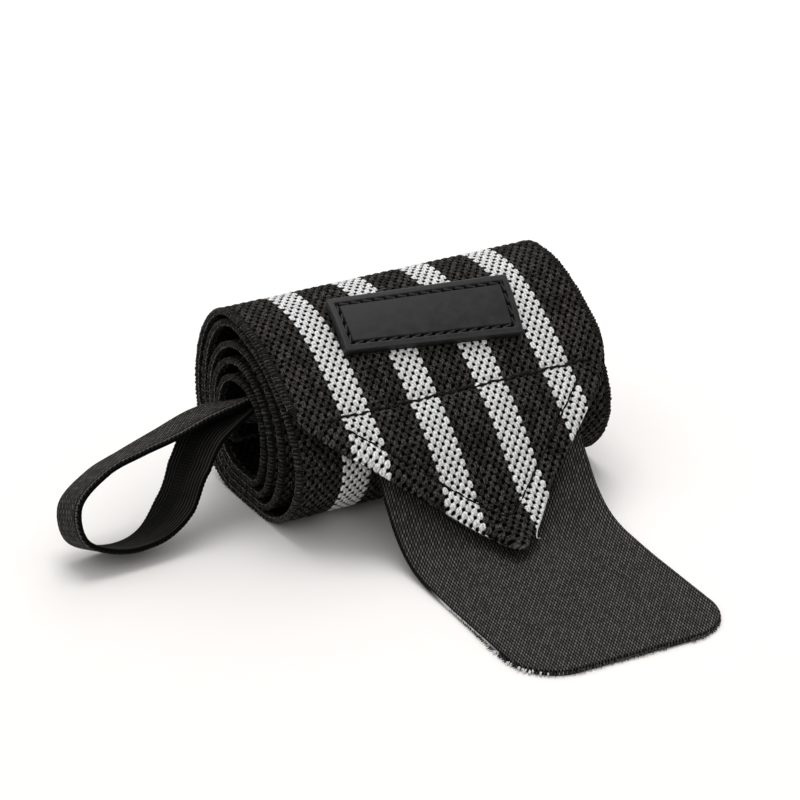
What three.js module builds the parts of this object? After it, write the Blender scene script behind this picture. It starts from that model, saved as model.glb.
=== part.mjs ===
// A rolled-up elastic wrist wrap lying on its side: knitted band, pointed free end with a hook tab sewn under it,
// webbing thumb loop coming out of the core, and a rubber patch on the front.
// Millimetres, +Z up, X along the roll, the free end towards -Y.
import * as THREE from "three";

// Elastic band
const bandWidth = 76;
const bandThickness = 1.2;
const selvedge = 0.5; // the band's long edges are rounded off over this width
const clearance = 0.3; // between pieces that touch
const cutEdge = 0.3; // rounding of the tab's and the webbing's edges
const edgeFlatShare = 0.4; // of a strip's thickness, left upright at its edges
const largestEdgeShare = 0.6; // of the half width that the rounding may take where a strip is narrow
const pointAngle = 45; // the free end's corners are folded under along lines at this angle
const pointRadius = 2;
const smallestHalfWidth = 0.25; // where the point's rounding closes
const foldRounding = 9; // the long edges run into the folds over this length
const foldedEdge = 0.6; // the folds' extra rounding over the selvedge's
const foldRamp = 2; // the folded corners' second layer begins over this length

// The band's middle line from the point up to the top of the roll, in a section across the roll.
const freeEnd = [
  { y: -50.6, z: 4.2 },
  { y: -47.6, z: 4.6 },
  { y: -43.8, z: 6.0 },
  { y: -39.4, z: 9.0 },
  { y: -34.8, z: 13.9 },
  { y: -28.2, z: 21.3 },
  { y: -20.3, z: 28.1 },
  { y: -12.2, z: 34.2 },
  { y: -6.0, z: 37.9 },
  { y: 0.6, z: 40.5 },
  { y: 5.2, z: 41.2 },
];

// One row for each turn of the roll, outermost first: how far its middle line reaches to the front, top, back and
// bottom, and where along the other axis it does so. Shoulder is the fullness of the bend from front to top, 2 for a
// true ellipse. The bottom runs level from flatBack to flatFront.
const turns = [
  { top: 41.3, topAt: 9.0, back: 24.8, backAt: 19.0, bottom: 0.6, flatBack: 9, flatFront: -5 },
  {
    front: -21.3, frontAt: 16.5, shoulder: 1.72,
    top: 39.4, topAt: 7.5, back: 21.7, backAt: 19.5, bottom: 2.4, flatBack: 8, flatFront: -4,
  },
  {
    front: -13.7, frontAt: 17.0, shoulder: 2.0,
    top: 35.3, topAt: 4.5, back: 19.3, backAt: 19.5, bottom: 4.2, flatBack: 7, flatFront: -2,
  },
  {
    front: -9.0, frontAt: 16.5, shoulder: 1.98,
    top: 31.4, topAt: 5.0, back: 17.2, backAt: 19.0, bottom: 6.0, flatBack: 6, flatFront: 0,
  },
  {
    front: -5.5, frontAt: 16.0, shoulder: 2.35,
    top: 27.5, topAt: 5.5, back: 15.1, backAt: 18.5, bottom: 12.4, flatBack: 6, flatFront: 0,
  },
];
const freeEndSteps = 64;
const quarterSteps = 11;
const quarterPower = { topToBack: 2, backToBottom: 2, bottomToFront: 1.9 }; // 2 is a true ellipse
const innerEndShare = 0.9; // of the last quarter, where the band's inner end stops

// Hook tab
const tabWidth = 48.5;
const tabThickness = 1.2;
const tabCornerRadius = 11;
const tabEnd = -94.8;
const tabRootX = 1.2; // the tab's middle drifts sideways from its root to its end
const tabEndX = -0.8;
const tabFlat = tabThickness / 2; // height of its middle where it lies on the surface
const tabSteps = 60;
const tabRows = [
  { y: -23.6, z: 21.5 },
  { y: -26.4, z: 18.9 },
  { y: -30.0, z: 15.0 },
  { y: -33.6, z: 10.6 },
  { y: -37.6, z: 6.2 },
  { y: -42.6, z: 2.9 },
  { y: -48.0, z: 1.35 },
  { y: -54.0, z: 0.9 },
  { y: -61.0, z: 0.62 },
  { y: -66.0, z: tabFlat },
  { y: -72.0, z: tabFlat },
  { y: tabEnd, z: tabFlat },
];

// Thumb loop: its middle line from the sewn end of the upper leg, out of the core, round and back, with the lean of
// the webbing's width, in degrees below level towards the back.
const loopWidth = 11.5;
const loopThickness = 1.1;
const loopRows = [
  { x: -13.0, y: 9.6, z: 19.6, lean: 89 },
  { x: -21.0, y: 9.5, z: 19.8, lean: 84 },
  { x: -30.0, y: 7.6, z: 21.4, lean: 52 },
  { x: -39.1, y: 4.7, z: 23.1, lean: 18 },
  { x: -48.0, y: 2.7, z: 23.0, lean: 15 },
  { x: -56.7, y: 1.0, z: 21.3, lean: 15 },
  { x: -65.5, y: -0.4, z: 19.7, lean: 21 },
  { x: -74.0, y: -2.0, z: 17.8, lean: 23 },
  { x: -81.5, y: -4.4, z: 13.0, lean: 21 },
  { x: -81.4, y: -7.0, z: 6.4, lean: 21 },
  { x: -73.6, y: -7.9, z: 2.7, lean: 20 },
  { x: -64.7, y: -7.1, z: 3.3, lean: 16 },
  { x: -57.9, y: -4.9, z: 7.9, lean: -15 },
  { x: -53.2, y: -2.3, z: 14.5, lean: -18 },
  { x: -47.5, y: 0.9, z: 19.9, lean: -11 },
  { x: -38.9, y: 3.2, z: 20.8, lean: 28 },
  { x: -29.9, y: 5.5, z: 19.7, lean: 54 },
  { x: -21.0, y: 8.0, z: 19.8, lean: 84 },
  { x: -13.0, y: 8.2, z: 19.6, lean: 89 },
];
const loopSteps = 84;

// Rubber patch: a plate bent to the band, with a raised frame round a sunk panel.
const patchLength = 40.6;
const patchHeight = 12.7;
const patchThickness = 2.0;
const patchPanelDepth = 0.5;
const patchRim = 1.7;
const patchBevel = 0.6;
const patchPanelSteps = 12;
const patchTipLeft = 1.1; // the stiff plate's upper edge stands this much further off the band, at its left end
const patchTipRight = 2.6; // and at its right end
const patchX = 0;
const patchAlong = 55.7; // distance of its middle from the band's point, along the band
const patchTurn = -7; // degrees against the roll's axis

const elasticBlack = { color: 0x1d1c1e, roughness: 0.92, metalness: 0 };
const hookBlack = { color: 0x232224, roughness: 0.85, metalness: 0 };
const webbingBlack = { color: 0x19181a, roughness: 0.8, metalness: 0 };
const rubberBlack = { color: 0x141414, roughness: 0.55, metalness: 0 };

const radians = THREE.MathUtils.degToRad;

// A quarter of a flattened ellipse from one extreme point of a turn to the next. The path leaves a level extreme
// (top or bottom) sideways and an upright one (front or back) up or down.
function quarter(from, to, leavesLevel, power, share = 1) {
  const points = [];
  for (let i = 1; i <= quarterSteps * share; i++) {
    const angle = ((i / quarterSteps) * Math.PI) / 2;
    const rise = Math.sin(angle) ** (2 / power);
    const rest = i === quarterSteps ? 0 : Math.cos(angle) ** (2 / power);
    points.push(
      leavesLevel
        ? { y: from.y + (to.y - from.y) * rise, z: to.z + (from.z - to.z) * rest }
        : { y: to.y + (from.y - to.y) * rest, z: from.z + (to.z - from.z) * rise },
    );
  }
  return points;
}

// A smooth line through rows of y and z.
function smoothRows(rows, steps) {
  const curve = new THREE.CatmullRomCurve3(rows.map((row) => new THREE.Vector3(0, row.y, row.z)));
  return curve.getSpacedPoints(steps).map((p) => ({ y: p.y, z: p.z }));
}

// The band's middle line from its point inwards, turn by turn.
function bandPath() {
  const points = smoothRows(freeEnd.concat({ y: turns[0].topAt, z: turns[0].top }), freeEndSteps);
  turns.forEach((turn, i) => {
    const top = { y: turn.topAt, z: turn.top };
    const back = { y: turn.back, z: turn.backAt };
    const floor = { y: turn.flatBack, z: turn.bottom };
    if (i > 0) {
      const outer = turns[i - 1];
      const front = { y: turn.front, z: turn.frontAt };
      const leave = { y: outer.flatFront, z: outer.bottom };
      points.push(leave, ...quarter(leave, front, true, quarterPower.bottomToFront));
      points.push(...quarter(front, top, false, turn.shoulder));
    }
    points.push(...quarter(top, back, true, quarterPower.topToBack));
    const share = i === turns.length - 1 ? innerEndShare : 1;
    points.push(...quarter(back, floor, false, quarterPower.backToBottom, share));
  });
  return points;
}

// Adds to each point of a path its distance along it and the normal on the outer side of the roll.
function measured(points) {
  let along = 0;
  return points.map((p, i) => {
    const before = points[Math.max(i - 1, 0)];
    const after = points[Math.min(i + 1, points.length - 1)];
    const length = Math.hypot(after.y - before.y, after.z - before.z);
    if (i > 0) along += Math.hypot(p.y - before.y, p.z - before.z);
    return { ...p, along, ny: -(after.z - before.z) / length, nz: (after.y - before.y) / length };
  });
}

// The place and normal at a distance along a measured path.
function atDistance(path, along) {
  const i = Math.max(1, path.findIndex((p) => p.along >= along));
  const [a, b] = [path[i - 1], path[i]];
  const t = (along - a.along) / (b.along - a.along);
  const mix = (key) => a[key] + (b[key] - a[key]) * t;
  return { y: mix("y"), z: mix("z"), ny: mix("ny"), nz: mix("nz") };
}

// The outline of a strip's section: across is the half width, above and below the wall's two faces.
function stripOutline(across, above, below, edge) {
  const inner = across - Math.min(edge, across * largestEdgeShare);
  const middle = (above - below) / 2;
  const half = (above + below) / 2;
  const low = middle - half * edgeFlatShare;
  const high = middle + half * edgeFlatShare;
  return [
    [-across, low],
    [-inner, -below],
    [inner, -below],
    [across, low],
    [across, high],
    [inner, above],
    [-inner, above],
    [-across, high],
  ];
}

// A closed solid through rings of points that all have the same count.
function ringSolid(rings) {
  const count = rings[0].length;
  const positions = rings.flat().flatMap((p) => [p.x, p.y, p.z]);
  const index = [];
  for (let i = 0; i + 1 < rings.length; i++) {
    for (let j = 0; j < count; j++) {
      const a = i * count + j;
      const b = i * count + ((j + 1) % count);
      index.push(a, b + count, b, a, a + count, b + count);
    }
  }
  const last = (rings.length - 1) * count;
  for (let j = 1; j + 1 < count; j++) index.push(0, j, j + 1, last, last + j + 1, last + j);
  const geometry = new THREE.BufferGeometry();
  geometry.setAttribute("position", new THREE.Float32BufferAttribute(positions, 3));
  geometry.setIndex(index);
  geometry.computeVertexNormals();
  return geometry;
}

// A strip's section set across the roll at a station of its path.
function stripRing(station, middleX, outline) {
  return outline.map(
    ([x, out]) => new THREE.Vector3(middleX + x, station.y + station.ny * out, station.z + station.nz * out),
  );
}

function makeElasticBand(path) {
  const half = bandWidth / 2;
  const layer = bandThickness / 2;
  const slope = Math.tan(radians(pointAngle));
  const tipToCentre = pointRadius / Math.sin(radians(pointAngle)); // from the sharp point to the rounding's centre
  const roundEnds = tipToCentre - pointRadius * Math.sin(radians(pointAngle));
  const pointLength = half / slope;
  const halfWidthAt = (along) => {
    const fromSharp = along + tipToCentre - pointRadius;
    const rounded = Math.sqrt(Math.max(pointRadius ** 2 - (tipToCentre - fromSharp) ** 2, 0));
    if (fromSharp < roundEnds) return Math.max(rounded, smallestHalfWidth);
    const blend = Math.max(foldRounding - Math.abs(fromSharp * slope - half), 0);
    return Math.min(fromSharp * slope, half) - blend ** 2 / (4 * foldRounding);
  };
  const rings = path.map((station) => {
    const folded = THREE.MathUtils.clamp((pointLength - station.along) / foldRamp, 0, 1);
    const edge = selvedge + folded * foldedEdge;
    return stripRing(station, 0, stripOutline(halfWidthAt(station.along), layer, layer + folded * bandThickness, edge));
  });
  return ringSolid(rings);
}

function makeHookTab() {
  const path = measured(smoothRows(tabRows, tabSteps).map((p) => ({ y: p.y, z: Math.max(p.z, tabFlat) })));
  const length = path[path.length - 1].along;
  const layer = tabThickness / 2;
  const rings = path.map((station) => {
    const toEnd = Math.max(tabCornerRadius - (length - station.along), 0);
    const corner = tabCornerRadius - Math.sqrt(tabCornerRadius ** 2 - toEnd ** 2);
    const middleX = tabRootX + ((tabEndX - tabRootX) * station.along) / length;
    return stripRing(station, middleX, stripOutline(tabWidth / 2 - corner, layer, layer, cutEdge));
  });
  return ringSolid(rings);
}

function makeThumbLoop() {
  const middle = new THREE.CatmullRomCurve3(loopRows.map((row) => new THREE.Vector3(row.x, row.y, row.z)));
  const outline = stripOutline(loopWidth / 2, loopThickness / 2, loopThickness / 2, cutEdge);
  const rings = [];
  for (let i = 0; i <= loopSteps; i++) {
    const t = i / loopSteps;
    const row = t * (loopRows.length - 1);
    const before = loopRows[Math.floor(row)];
    const after = loopRows[Math.ceil(row)];
    const lean = radians(THREE.MathUtils.lerp(before.lean, after.lean, row % 1));
    const centre = middle.getPoint(t);
    const forward = middle.getTangent(t);
    const across = new THREE.Vector3(0, Math.cos(lean), -Math.sin(lean));
    across.addScaledVector(forward, -across.dot(forward)).normalize();
    const out = new THREE.Vector3().crossVectors(across, forward);
    rings.push(outline.map(([w, h]) => centre.clone().addScaledVector(across, w).addScaledVector(out, h)));
  }
  return ringSolid(rings);
}

// The patch's face is a grid in its own length and height; its heights step from bevel to frame to panel.
function makeLabelPatch(path) {
  const steps = [0, patchBevel, patchRim - patchBevel / 2, patchRim];
  const heights = [patchThickness - patchBevel, patchThickness, patchThickness, patchThickness - patchPanelDepth];
  const lines = (size) => {
    const inner = size - 2 * patchRim;
    const middle = Array.from({ length: patchPanelSteps - 1 }, (_, i) => patchRim + (inner * (i + 1)) / patchPanelSteps);
    return [...steps, ...middle, ...steps.map((s) => size - s).reverse()];
  };
  const rise = (u, v) => {
    const toEdge = Math.min(u, patchLength - u, v, patchHeight - v);
    const i = steps.findLastIndex((s) => toEdge >= s - 1e-6);
    return heights[i];
  };
  const place = (u, v, height) => {
    const turn = radians(patchTurn);
    const [du, dv] = [u - patchLength / 2, v - patchHeight / 2];
    const x = patchX + du * Math.cos(turn) - dv * Math.sin(turn);
    const station = atDistance(path, patchAlong + du * Math.sin(turn) + dv * Math.cos(turn));
    const tip = THREE.MathUtils.lerp(patchTipLeft, patchTipRight, u / patchLength);
    const out = bandThickness / 2 + clearance + height + (tip * v) / patchHeight;
    return new THREE.Vector3(x, station.y + station.ny * out, station.z + station.nz * out);
  };
  const [us, vs] = [lines(patchLength), lines(patchHeight)];
  const positions = [];
  const index = [];
  const face = (height, flip) => {
    const first = positions.length / 3;
    us.forEach((u) => vs.forEach((v) => positions.push(...place(u, v, height(u, v)))));
    for (let i = 0; i + 1 < us.length; i++) {
      for (let j = 0; j + 1 < vs.length; j++) {
        const a = first + i * vs.length + j;
        const b = a + vs.length;
        index.push(...(flip ? [a, a + 1, b + 1, a, b + 1, b] : [a, b, b + 1, a, b + 1, a + 1]));
      }
    }
    return first;
  };
  const top = face(rise, false);
  const base = face(() => 0, true);
  const border = [];
  for (let i = 0; i + 1 < us.length; i++) border.push(i * vs.length);
  for (let j = 0; j + 1 < vs.length; j++) border.push((us.length - 1) * vs.length + j);
  for (let i = us.length - 1; i > 0; i--) border.push(i * vs.length + vs.length - 1);
  for (let j = vs.length - 1; j > 0; j--) border.push(j);
  border.forEach((a, i) => {
    const b = border[(i + 1) % border.length];
    index.push(base + a, base + b, top + b, base + a, top + b, top + a);
  });
  const geometry = new THREE.BufferGeometry();
  geometry.setAttribute("position", new THREE.Float32BufferAttribute(positions, 3));
  geometry.setIndex(index);
  geometry.computeVertexNormals();
  return geometry;
}

function piece(name, geometry, finish) {
  const mesh = new THREE.Mesh(geometry, new THREE.MeshStandardMaterial(finish));
  mesh.name = name;
  return mesh;
}

const path = measured(bandPath());
const wrap = new THREE.Group();
wrap.add(
  piece("elastic_band", makeElasticBand(path), elasticBlack),
  piece("hook_tab", makeHookTab(), hookBlack),
  piece("thumb_loop", makeThumbLoop(), webbingBlack),
  piece("label_patch", makeLabelPatch(path), rubberBlack),
);

// The origin is under the middle of the whole part, on the surface it lies on.
const box = new THREE.Box3().setFromObject(wrap);
const middle = box.getCenter(new THREE.Vector3());
wrap.position.set(-middle.x, -middle.y, -box.min.z);

const root = new THREE.Group();
root.add(wrap);

export default root;
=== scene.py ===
import math

import bmesh
import bpy
import numpy as np
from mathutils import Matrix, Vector


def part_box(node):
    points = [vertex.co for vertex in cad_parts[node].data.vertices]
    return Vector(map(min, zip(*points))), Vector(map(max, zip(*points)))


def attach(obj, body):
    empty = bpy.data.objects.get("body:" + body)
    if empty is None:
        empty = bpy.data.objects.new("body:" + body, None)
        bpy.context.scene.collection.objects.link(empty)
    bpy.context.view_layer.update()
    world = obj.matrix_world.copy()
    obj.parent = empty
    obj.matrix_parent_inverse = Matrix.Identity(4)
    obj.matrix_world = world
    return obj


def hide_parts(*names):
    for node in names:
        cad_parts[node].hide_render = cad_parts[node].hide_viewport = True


# A rolled-up elastic wrist wrap. Sizes are millimetres in the wrap's own measuring frame: X along the roll,
# the free end towards -Y, +Z up, the surface it lies on at 0. toRow moves them into the CAD frame, in metres.
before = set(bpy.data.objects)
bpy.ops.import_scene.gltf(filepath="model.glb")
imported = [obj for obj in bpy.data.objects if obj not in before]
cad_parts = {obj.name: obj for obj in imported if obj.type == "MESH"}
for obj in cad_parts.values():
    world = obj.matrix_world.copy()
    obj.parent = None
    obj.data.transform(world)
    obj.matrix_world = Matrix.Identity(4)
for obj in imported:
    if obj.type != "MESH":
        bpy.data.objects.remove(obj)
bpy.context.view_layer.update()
bandLow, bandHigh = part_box("elastic_band")
bandBack = 25.4  # the roll's back in the measuring frame
frameShift = np.array([(bandLow.x + bandHigh.x) / 2, bandHigh.y - bandBack / 1000, bandLow.z])
random = np.random.default_rng(31)


def toRow(points):
    return np.asarray(points, float) / 1000 + frameShift


def fade(x, low, high):
    # smooth step: 0 below low, 1 above high, and 3t^2 - 2t^3 between them
    t = np.clip((x - low) / (high - low), 0, 1)
    return t * t * (3 - 2 * t)


def bell(x, width):
    # bell curve: e to the minus half the square of x over width
    return np.exp(-0.5 * (x / width) ** 2)


def unit(vectors, guard=0.0):
    # each vector over its own length; a small guard lets one of no length through
    return vectors / (np.linalg.norm(vectors, axis=-1, keepdims=True) + guard)


def lengthAlong(points):
    # running sum of the distances between neighbouring points
    return np.concatenate([[0], np.cumsum(np.linalg.norm(np.diff(points, axis=0), axis=1))])


def softened(values, reach):
    # running mean over a number of samples, with the ends held
    padded = np.pad(values, ((reach, reach), (0, 0)), mode="reflect", reflect_type="odd")
    box = np.ones(2 * reach + 1) / (2 * reach + 1)
    return np.stack([np.convolve(padded[:, i], box, "valid") for i in range(values.shape[1])], 1)


def smoothLine(points, t):
    # centripetal Catmull-Rom curve: each span is a cubic whose end slopes come from the neighbouring points,
    # weighed by the square roots of the distances between them
    p = np.vstack([2 * points[0] - points[1], points, 2 * points[-1] - points[-2]])
    place = np.clip(t, 0, 1) * (len(points) - 1)
    i = np.minimum(place.astype(int), len(points) - 2)
    w = (place - i)[:, None]
    p0, p1, p2, p3 = p[i], p[i + 1], p[i + 2], p[i + 3]
    d0, d1, d2 = (np.sum((b - a) ** 2, 1)[:, None] ** 0.25 for a, b in ((p0, p1), (p1, p2), (p2, p3)))
    m1 = ((p1 - p0) / d0 - (p2 - p0) / (d0 + d1) + (p2 - p1) / d1) * d1
    m2 = ((p2 - p1) / d1 - (p3 - p1) / (d1 + d2) + (p3 - p2) / d2) * d1
    return p1 + m1 * w + (3 * (p2 - p1) - 2 * m1 - m2) * w**2 + (2 * (p1 - p2) + m1 + m2) * w**3


# Meshes


def addPiece(name, points, quads, caps, coords, material, merge=False):
    # one mesh from whole arrays of points and quads, with its end faces, turned outwards by its signed volume
    points = toRow(points)
    a, b, c, d = (points[quads[:, i]] for i in range(4))
    volume = np.sum(a * np.cross(b, c)) + np.sum(a * np.cross(c, d))
    turn = 1 if volume > 0 else -1
    corners = [quads[:, ::turn].ravel()] + [np.asarray(cap)[::turn] for cap in caps]
    counts = np.concatenate([np.full(len(quads), 4), [len(cap) for cap in caps]]).astype(int)
    mesh = bpy.data.meshes.new(name)
    mesh.vertices.add(len(points))
    mesh.vertices.foreach_set("co", points.astype(np.float32).ravel())
    mesh.loops.add(int(counts.sum()))
    mesh.loops.foreach_set("vertex_index", np.concatenate(corners).astype(np.int32))
    mesh.polygons.add(len(counts))
    mesh.polygons.foreach_set("loop_start", (np.cumsum(counts) - counts).astype(np.int32))
    mesh.update(calc_edges=True)
    mesh.validate()
    if coords is not None:
        weave = mesh.attributes.new("weave", "FLOAT_VECTOR", "POINT")
        weave.data.foreach_set("vector", np.asarray(coords, np.float32).ravel())
    if merge:
        shape = bmesh.new()
        shape.from_mesh(mesh)
        bmesh.ops.remove_doubles(shape, verts=shape.verts, dist=1e-6)
        bmesh.ops.dissolve_degenerate(shape, edges=shape.edges, dist=1e-7)
        shape.to_mesh(mesh)
        shape.free()
    mesh.polygons.foreach_set("use_smooth", np.ones(len(mesh.polygons), bool))
    piece = bpy.data.objects.new(name, mesh)
    bpy.context.scene.collection.objects.link(piece)
    mesh.materials.append(material)
    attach(piece, "root")
    print(name, len(mesh.vertices), "points", len(mesh.polygons), "faces")
    return piece


def ringQuads(rows, ring):
    # quads between neighbouring closed sections of a loft
    i, j = np.meshgrid(np.arange(rows - 1), np.arange(ring), indexing="ij")
    a, b = i * ring + j, i * ring + (j + 1) % ring
    return np.stack([a, b, b + ring, a + ring], -1).reshape(-1, 4)


def gridQuads(rows, columns):
    # quads of an open grid
    i, j = np.meshgrid(np.arange(rows - 1), np.arange(columns - 1), indexing="ij")
    a = (i * columns + j).ravel()
    return np.stack([a, a + columns, a + columns + 1, a + 1], 1)


def addLoft(name, points, coords, material, closed=(0, 1), merge=False):
    # closed sections, an array of rows by places round the section, with a face over each end named in closed
    rows, ring = points.shape[:2]
    ends = [np.arange(ring)[::-1], (rows - 1) * ring + np.arange(ring)]
    caps = [ends[end] for end in closed]
    return addPiece(name, points.reshape(-1, 3), ringQuads(rows, ring), caps, coords, material, merge)


def stripSection(face, innerFace, sides):
    # a strip's closed section: outer face, half-round edge, inner face and the other edge; flat runs from -1
    # to 1 across a face, bulge and rise are the sine and cosine of the angle round an edge
    angle = np.linspace(0, math.pi, sides + 2)[1:-1]
    flat = np.concatenate([face, np.ones(sides), innerFace[::-1], -np.ones(sides)])
    bulge = np.concatenate([0 * face, np.sin(angle), 0 * innerFace, -np.sin(angle)])
    rise = np.concatenate([0 * face + 1, np.cos(angle), 0 * innerFace - 1, -np.cos(angle)])
    return angle, flat, bulge, rise


def tube(path, normal, radius, sides):
    # a round section carried along a path: each ring is radius times the cosine of its angle along the normal
    # plus the sine along the binormal
    forward = unit(np.gradient(path, axis=0))
    side = unit(np.cross(forward, normal))
    up = np.cross(side, forward)
    angle = np.arange(sides) / sides * 2 * math.pi
    ring = np.cos(angle)[None, :, None] * up[:, None] + np.sin(angle)[None, :, None] * side[:, None]
    return path[:, None] + radius[:, None, None] * ring


def addTubes(name, path, reference, radius, sides, tone, material):
    # many short tubes in one mesh, from an array of tubes by steps by places: each ring is the cosine of its
    # angle along one side of the path plus the sine along the other; tone is each tube's own lightness
    forward = np.gradient(path, axis=1)
    across = unit(np.cross(forward, reference), 1e-9)
    up = unit(np.cross(across, forward), 1e-9)
    angle = np.arange(sides) / sides * 2 * math.pi
    ring = np.cos(angle)[:, None] * up[:, :, None] + np.sin(angle)[:, None] * across[:, :, None]
    points = (path[:, :, None] + radius[..., None, None] * ring).reshape(-1, 3)
    count, steps = path.shape[:2]
    per = steps * sides
    quads = (np.arange(count)[:, None, None] * per + ringQuads(steps, sides)[None]).reshape(-1, 4)
    ends = [np.arange(sides)[::-1] + k * per for k in range(count)]
    ends += [np.arange(sides) + (k + 1) * per - sides for k in range(count)]
    tones = np.zeros((len(points), 3))
    tones[:, 0] = np.repeat(np.broadcast_to(tone, count), per)
    return addPiece(name, points, quads, ends, tones, material)


# Shader helpers


def put(tree, kind, values=None, **settings):
    node = tree.nodes.new(kind)
    for key, value in settings.items():
        setattr(node, key, value)
    for socket, value in (values or {}).items():
        if isinstance(value, bpy.types.NodeSocket):
            tree.links.new(value, node.inputs[socket])
        else:
            node.inputs[socket].default_value = value
    return node


def maths(tree, operation, *values):
    return put(tree, "ShaderNodeMath", dict(enumerate(values)), operation=operation).outputs[0]


def times(tree, first, *others):
    for other in others:
        first = maths(tree, "MULTIPLY", first, other)
    return first


def scaled(tree, value, gain, offset):
    return maths(tree, "MULTIPLY_ADD", value, gain, offset)


def spread(tree, value, low, high, toLow=0.0, toHigh=1.0):
    # smooth step of a value from low..high to toLow..toHigh
    names = {"Value": value, "From Min": low, "From Max": high, "To Min": toLow, "To Max": toHigh}
    return put(tree, "ShaderNodeMapRange", names, interpolation_type="SMOOTHSTEP").outputs[0]


def blendValue(tree, share, first, second):
    return put(tree, "ShaderNodeMix", {0: share, 2: first, 3: second}).outputs[0]


def blendColour(tree, share, first, second, kind="MIX"):
    values = {0: share, 6: first, 7: second}
    return put(tree, "ShaderNodeMix", values, data_type="RGBA", blend_type=kind).outputs[2]


def splitVector(tree, vector):
    return put(tree, "ShaderNodeSeparateXYZ", {0: vector}).outputs


def cellChance(tree, u, v):
    # random colour and value of the cell whose whole numbers are u and v
    cell = put(tree, "ShaderNodeCombineXYZ", {0: u, 1: v}).outputs[0]
    return put(tree, "ShaderNodeTexWhiteNoise", {"Vector": cell}, noise_dimensions="2D").outputs


def noise(tree, place, scale, detail):
    return put(tree, "ShaderNodeTexNoise", {"Vector": place, "Scale": scale, "Detail": detail}).outputs[0]


def objectPlace(tree):
    return put(tree, "ShaderNodeTexCoord").outputs["Object"]


def weaveCoords(tree):
    return put(tree, "ShaderNodeAttribute", attribute_name="weave").outputs["Vector"]


def newGroup(name, takes, gives):
    tree = bpy.data.node_groups.new(name, "ShaderNodeTree")
    for socket, kind in takes:
        tree.interface.new_socket(socket, in_out="INPUT", socket_type=kind)
    for socket in gives:
        tree.interface.new_socket(socket, in_out="OUTPUT", socket_type="NodeSocketFloat")
    return tree, tree.nodes.new("NodeGroupInput").outputs, tree.nodes.new("NodeGroupOutput").inputs


def newMaterial(name, roughness=0.5, specular=0.5):
    material = bpy.data.materials.new(name)
    material.use_nodes = True
    tree = material.node_tree
    surface = tree.nodes["Principled BSDF"].inputs
    surface["Roughness"].default_value = roughness
    surface["Specular IOR Level"].default_value = specular
    return material, tree, surface


def bumpInto(tree, surface, height, distance, strength):
    bump = put(tree, "ShaderNodeBump", {"Height": height, "Distance": distance, "Strength": strength})
    tree.links.new(bump.outputs[0], surface["Normal"])


def grey(value, warm=0.0):
    return (value * (1 + warm), value, value * (1 - warm), 1)


# Knit: grains of two strands stand on a checkerboard, half a column and half a row apart, with small dark
# holes between them
knit = {
    "column": 16 / 17,  # half a column across the band
    "row": 1.2,  # half a row along the band
    "rib": 0.5,  # pitch of the small ribs along the long edges
    "relief": 0.4,
    "jitter": 0.18,  # grains stand off their places by up to half of this
    "grain": (0.78, 0.82),  # half a grain's size across and along, in half columns and half rows
    "hole": (0.43, 0.38),  # the same for the holes between the grains
    "holeEdge": (0.45, 1.25),  # a hole runs from dark to light between these shares of its size, squared
    "slit": (0.24, 0.6),  # half width and half length of the slit between a grain's two strands
    "slitMiddle": (0.02, 0.1),  # its darkest part
    "slitLean": 0.25,
    "lean": 0.12,  # each grain leans across the band by this share of its length
    "fibre": (3.6, 2.4, 0.0),  # fibres of the yarn to a half column and a half row
    "innerFace": 0.2,  # painted shade: the inner face, inside the roll, is darkened to this share of the outer face's lightness
    "ribDark": 0.002,
    "ribLight": 0.03,
    "stripeRepeat": 17,  # half columns from stripe to stripe
    "stripeFirst": 9,
    "stripeReach": 3.5,  # half columns on each side of a stripe's middle
    "stripeLimit": 33,
}
# a yarn's colour and what shades it: grain and fibre are from, to, darkest and lightest, chance and slit are
# gain and offset; the grain ramp paints shade towards each grain's edges and, on the black yarn, a highlight
# on its top, and the slit ramp paints shade in the slit
blackYarn = {
    "colour": grey(0.031, 0.09),
    "grain": (0.0, 1.0, 0.15, 1.1),
    "fibre": (0.36, 0.66, 0.15, 2.1),
    "chance": (0.8, 0.5),
    "slit": (0.4, 0.66),
}
whiteYarn = {
    "colour": grey(0.76, 0.004),
    "grain": (0.1, 0.8, 0.25, 1.0),
    "fibre": (0.33, 0.67, 0.62, 1.28),
    "chance": (0.16, 0.84),
    "slit": (0.38, 0.64),
}


def nearestKnot(tree, u, v):
    # the checkerboard's nearest place: half the sum and half the difference of u and v, rounded, then its
    # column, and how far aside and ahead of it u and v lie
    half = [times(tree, maths(tree, sign, u, v), 0.5) for sign in ("ADD", "SUBTRACT")]
    p, q = (maths(tree, "ROUND", value) for value in half)
    column = maths(tree, "ADD", p, q)
    aside = maths(tree, "SUBTRACT", u, column)
    ahead = maths(tree, "SUBTRACT", v, maths(tree, "SUBTRACT", p, q))
    return p, q, column, aside, ahead


def ovalDistance(tree, offsets, sizes):
    # squares of the offsets over an oval's half sizes, added up: 1 on the oval
    far = [maths(tree, "POWER", maths(tree, "DIVIDE", maths(tree, "ABSOLUTE", offset), size), 2.0)
           for offset, size in zip(offsets, sizes)]
    return maths(tree, "ADD", *far)


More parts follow.
